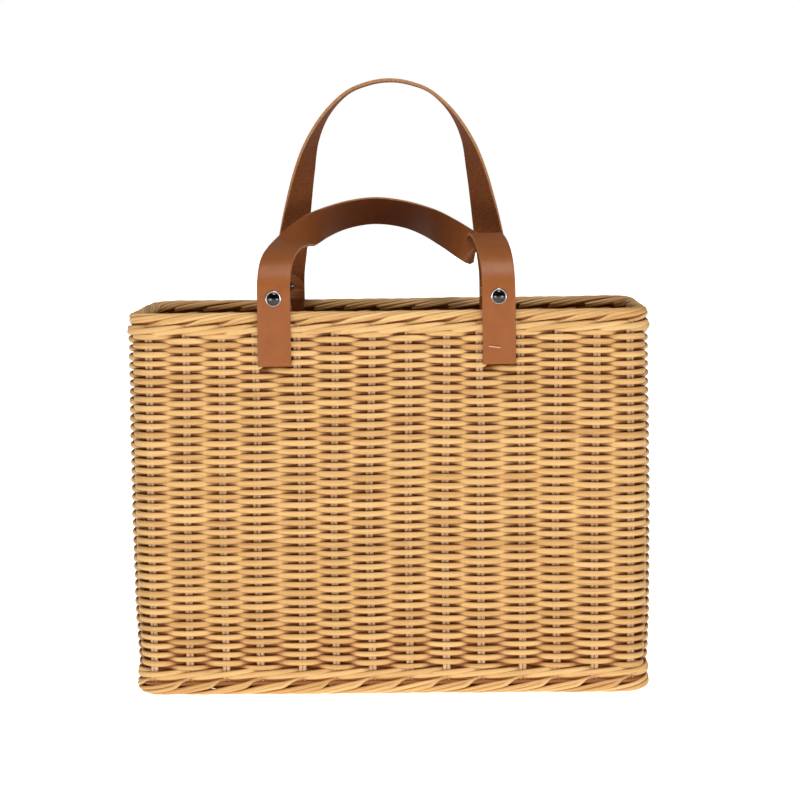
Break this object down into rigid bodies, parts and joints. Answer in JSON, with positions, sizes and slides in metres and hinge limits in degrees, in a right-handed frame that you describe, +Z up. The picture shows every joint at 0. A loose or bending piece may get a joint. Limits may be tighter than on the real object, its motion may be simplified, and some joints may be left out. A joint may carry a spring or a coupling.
{
  "type": "woven market basket",
  "caption": "Rectangular willow shopping basket with an open top and two riveted leather strap handles that swing at the rim.",
  "frame": {"origin": "centre of the foot, on the surface that the basket stands on", "axes": "+Z up, +X to the right along the long side, -Y towards the front wall"},
  "size_m": [0.4, 0.166, 0.4753],
  "materials": {
    "willow_weave": "buff willow, smooth round rods, satin",
    "willow_band": "buff willow, waled and rolled rods, satin",
    "willow_stake": "peeled willow stakes, satin",
    "leather": "vegetable-tanned strap leather, smooth grain side, brown flesh side",
    "rivet_metal": "polished nickel plate"
  },
  "bodies": {
    "basket": {"front_stake_pair_1": "willow_stake", "front_stake_pair_2": "willow_stake", "front_stake_pair_3": "willow_stake", "front_stake_pair_4": "willow_stake", "front_stake_pair_5": "willow_stake", "front_stake_pair_6": "willow_stake", "front_stake_pair_7": "willow_stake", "front_stake_pair_8": "willow_stake", "front_stake_pair_9": "willow_stake", "front_stake_pair_10": "willow_stake", "front_stake_pair_11": "willow_stake", "front_stake_pair_12": "willow_stake", "front_stake_pair_13": "willow_stake", "front_stake_pair_14": "willow_stake", "rear_stake_pair_1": "willow_stake", "rear_stake_pair_2": "willow_stake", "rear_stake_pair_3": "willow_stake", "rear_stake_pair_4": "willow_stake", "rear_stake_pair_5": "willow_stake", "rear_stake_pair_6": "willow_stake", "rear_stake_pair_7": "willow_stake", "rear_stake_pair_8": "willow_stake", "rear_stake_pair_9": "willow_stake", "rear_stake_pair_10": "willow_stake", "rear_stake_pair_11": "willow_stake", "rear_stake_pair_12": "willow_stake", "rear_stake_pair_13": "willow_stake", "rear_stake_pair_14": "willow_stake", "left_end_stake_pair_1": "willow_stake", "left_end_stake_pair_2": "willow_stake", "left_end_stake_pair_3": "willow_stake", "left_end_stake_pair_4": "willow_stake", "right_end_stake_pair_1": "willow_stake", "right_end_stake_pair_2": "willow_stake", "right_end_stake_pair_3": "willow_stake", "right_end_stake_pair_4": "willow_stake", "base_sticks": "willow_stake", "base_weave": "willow_weave", "side_weave": "willow_weave", "foot_border": "willow_band", "upset_wale": "willow_band", "top_wale": "willow_band", "top_border": "willow_band", "front_left_strap_loop": "leather", "front_right_strap_loop": "leather", "rear_left_strap_loop": "leather", "rear_right_strap_loop": "leather", "front_left_rivet_cap": "rivet_metal", "front_right_rivet_cap": "rivet_metal", "rear_left_rivet_cap": "rivet_metal", "rear_right_rivet_cap": "rivet_metal", "rivet_collars": "rivet_metal", "rivet_backs": "rivet_metal"},
    "front_handle": {"front_strap": "leather"},
    "rear_handle": {"rear_strap": "leather"}
  },
  "joints": [
    {"name": "front_handle_swing", "type": "hinge", "parent": "basket", "child": "front_handle", "pos_m": [0, -0.07665, 0.318], "axis": [1, 0, 0], "range_deg": [-8, 170]},
    {"name": "rear_handle_swing", "type": "hinge", "parent": "basket", "child": "rear_handle", "pos_m": [0, 0.07665, 0.318], "axis": [-1, 0, 0], "range_deg": [-20, 105]}
  ]
}
